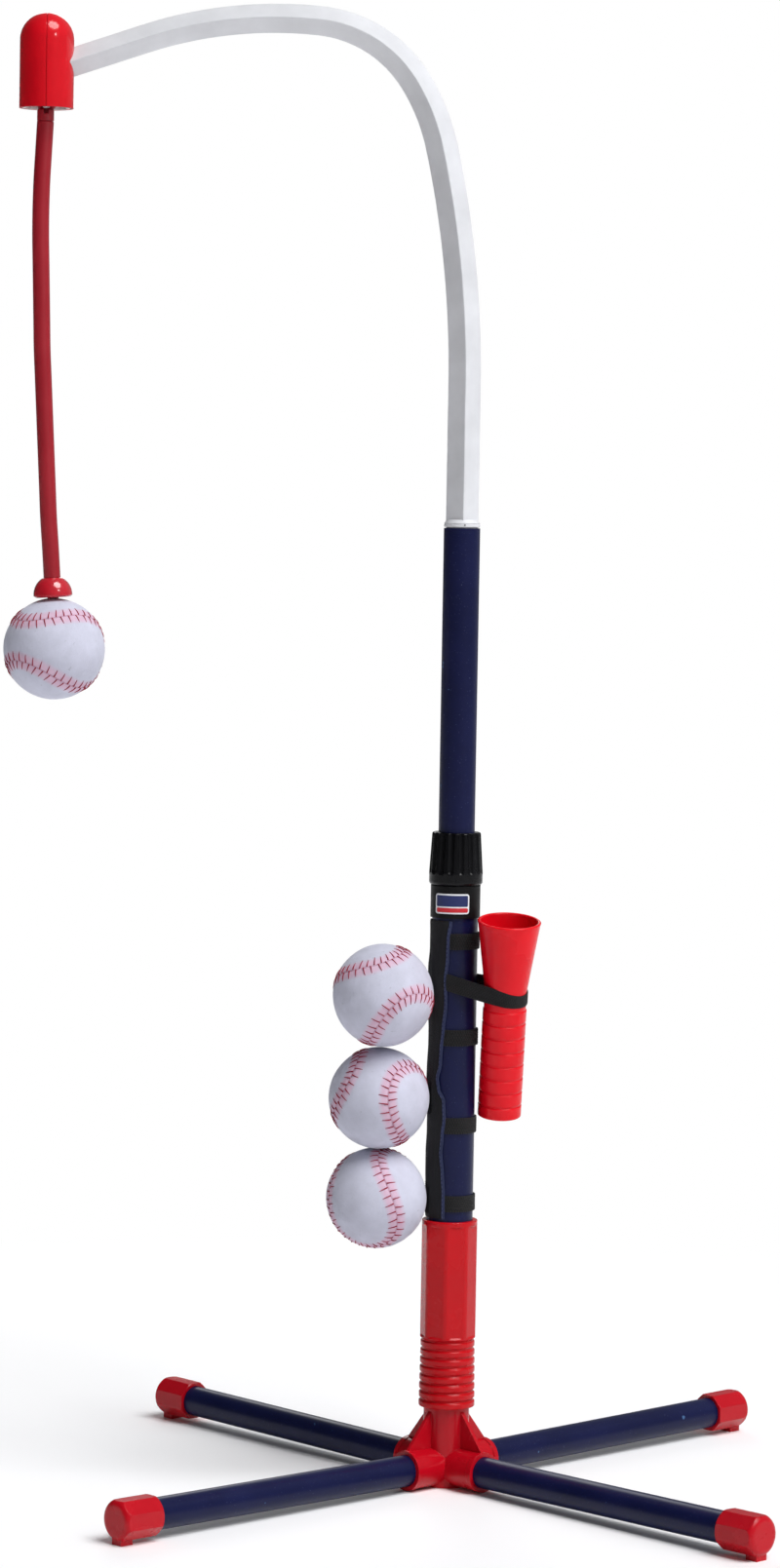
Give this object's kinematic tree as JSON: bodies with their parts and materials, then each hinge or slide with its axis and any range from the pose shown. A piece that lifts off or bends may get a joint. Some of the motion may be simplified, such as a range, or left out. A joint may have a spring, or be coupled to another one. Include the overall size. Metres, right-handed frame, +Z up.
{
  "type": "batting tee",
  "caption": "Batting tee with a four-legged base, a telescopic post, a curved arm hanging a tethered ball, a fabric holder for stored balls, and a tee topper.",
  "frame": {"origin": "centre of the hub's flat underside, on the floor and on the post's axis", "axes": "+Z up along the post; the arm reaches towards -X, turned 5 degrees towards -Y; +Y is the back"},
  "size_m": [0.5532, 0.4564, 1.061],
  "materials": {
    "moulded_red": "injection-moulded, semi-gloss",
    "sleeve_red": "matt moulded rubber",
    "tube_navy": "smooth semi-gloss coat",
    "collar_black": "moulded, satin gloss",
    "badge_print": "printed label",
    "inner_white": "plain moulded",
    "arm_white": "smooth satin",
    "dome_red": "high gloss",
    "pin_steel": "bright",
    "tether_red": "satin rubber",
    "ball_cover": "brushed soft cloth with red stitching",
    "ball_core": "soft foam filling",
    "holder_fabric": "woven, matt",
    "piping_navy": "woven edging",
    "hook_black": "hook pile",
    "elastic_black": "ribbed elastic",
    "topper_red": "satin rubber"
  },
  "bodies": {
    "base": {"base_hub": "moulded_red", "base_sleeve": "sleeve_red", "lower_tube": "tube_navy", "collar_band": "collar_black", "collar_badge": "badge_print", "clamp_collet": "inner_white", "leg_1": "tube_navy", "leg_2": "tube_navy", "leg_3": "tube_navy", "leg_4": "tube_navy", "leg_cap_1": "moulded_red", "leg_cap_2": "moulded_red", "leg_cap_3": "moulded_red", "leg_cap_4": "moulded_red", "holder_strip": "holder_fabric", "holder_piping": "piping_navy", "hook_patches": "hook_black", "topper_loop": "elastic_black", "elastic_band_1": "elastic_black", "elastic_band_2": "elastic_black", "elastic_band_3": "elastic_black", "elastic_band_4": "elastic_black"},
    "knob": {"twist_collar": "collar_black"},
    "post": {"upper_tube": "tube_navy", "upper_bushing": "inner_white"},
    "arm": {"arm_plug": "arm_white", "arm": "arm_white", "dome_post_half": "dome_red", "dome_outer_half": "dome_red", "dome_ring": "inner_white"},
    "swing": {"swing_pin": "pin_steel"},
    "hanger": {"tether_eye": "tether_red", "tether": "tether_red", "tether_bell": "tether_red", "ball_stem": "tether_red", "tether_ball_cover": "ball_cover", "tether_ball_core": "ball_core"},
    "topper": {"tee_topper": "topper_red"},
    "ball_1": {"ball_1_cover": "ball_cover", "ball_1_core": "ball_core"},
    "ball_2": {"ball_2_cover": "ball_cover", "ball_2_core": "ball_core"},
    "ball_3": {"ball_3_cover": "ball_cover", "ball_3_core": "ball_core"}
  },
  "joints": [
    {"name": "collar_twist", "type": "hinge", "parent": "base", "child": "knob", "pos_m": [0, 0, 0.4361], "axis": [0, 0, 1], "range_deg": [0, 90]},
    {"name": "post_height", "type": "slide", "parent": "base", "child": "post", "axis": [0, 0, 1], "range_m": [-0.17, 0.09]},
    {"name": "arm_swivel", "type": "hinge", "parent": "post", "child": "arm", "pos_m": [0, 0, 0.6926], "axis": [0, 0, 1], "continuous": true},
    {"name": "tether_swing", "type": "hinge", "parent": "arm", "child": "swing", "pos_m": [-0.29886, -0.02615, 0.987], "axis": [0.0872, -0.9962, 0], "range_deg": [-40, 35]},
    {"name": "tether_sway", "type": "hinge", "parent": "swing", "child": "hanger", "pos_m": [-0.29886, -0.02615, 0.987], "axis": [-0.9962, -0.0872, 0], "range_deg": [-40, 40]},
    {"name": "ball_1_pull", "type": "slide", "parent": "base", "child": "ball_1", "axis": [-0.9135, -0.4067, 0], "range_m": [0, 0.15]},
    {"name": "ball_2_pull", "type": "slide", "parent": "base", "child": "ball_2", "axis": [-0.9511, -0.309, 0], "range_m": [0, 0.15]},
    {"name": "ball_3_pull", "type": "slide", "parent": "base", "child": "ball_3", "axis": [-0.9659, -0.2588, 0], "range_m": [0, 0.15]},
    {"name": "topper_lift", "type": "slide", "parent": "base", "child": "topper", "axis": [0.0344, -0.172, 0.9845], "range_m": [0, 0.2]}
  ]
}
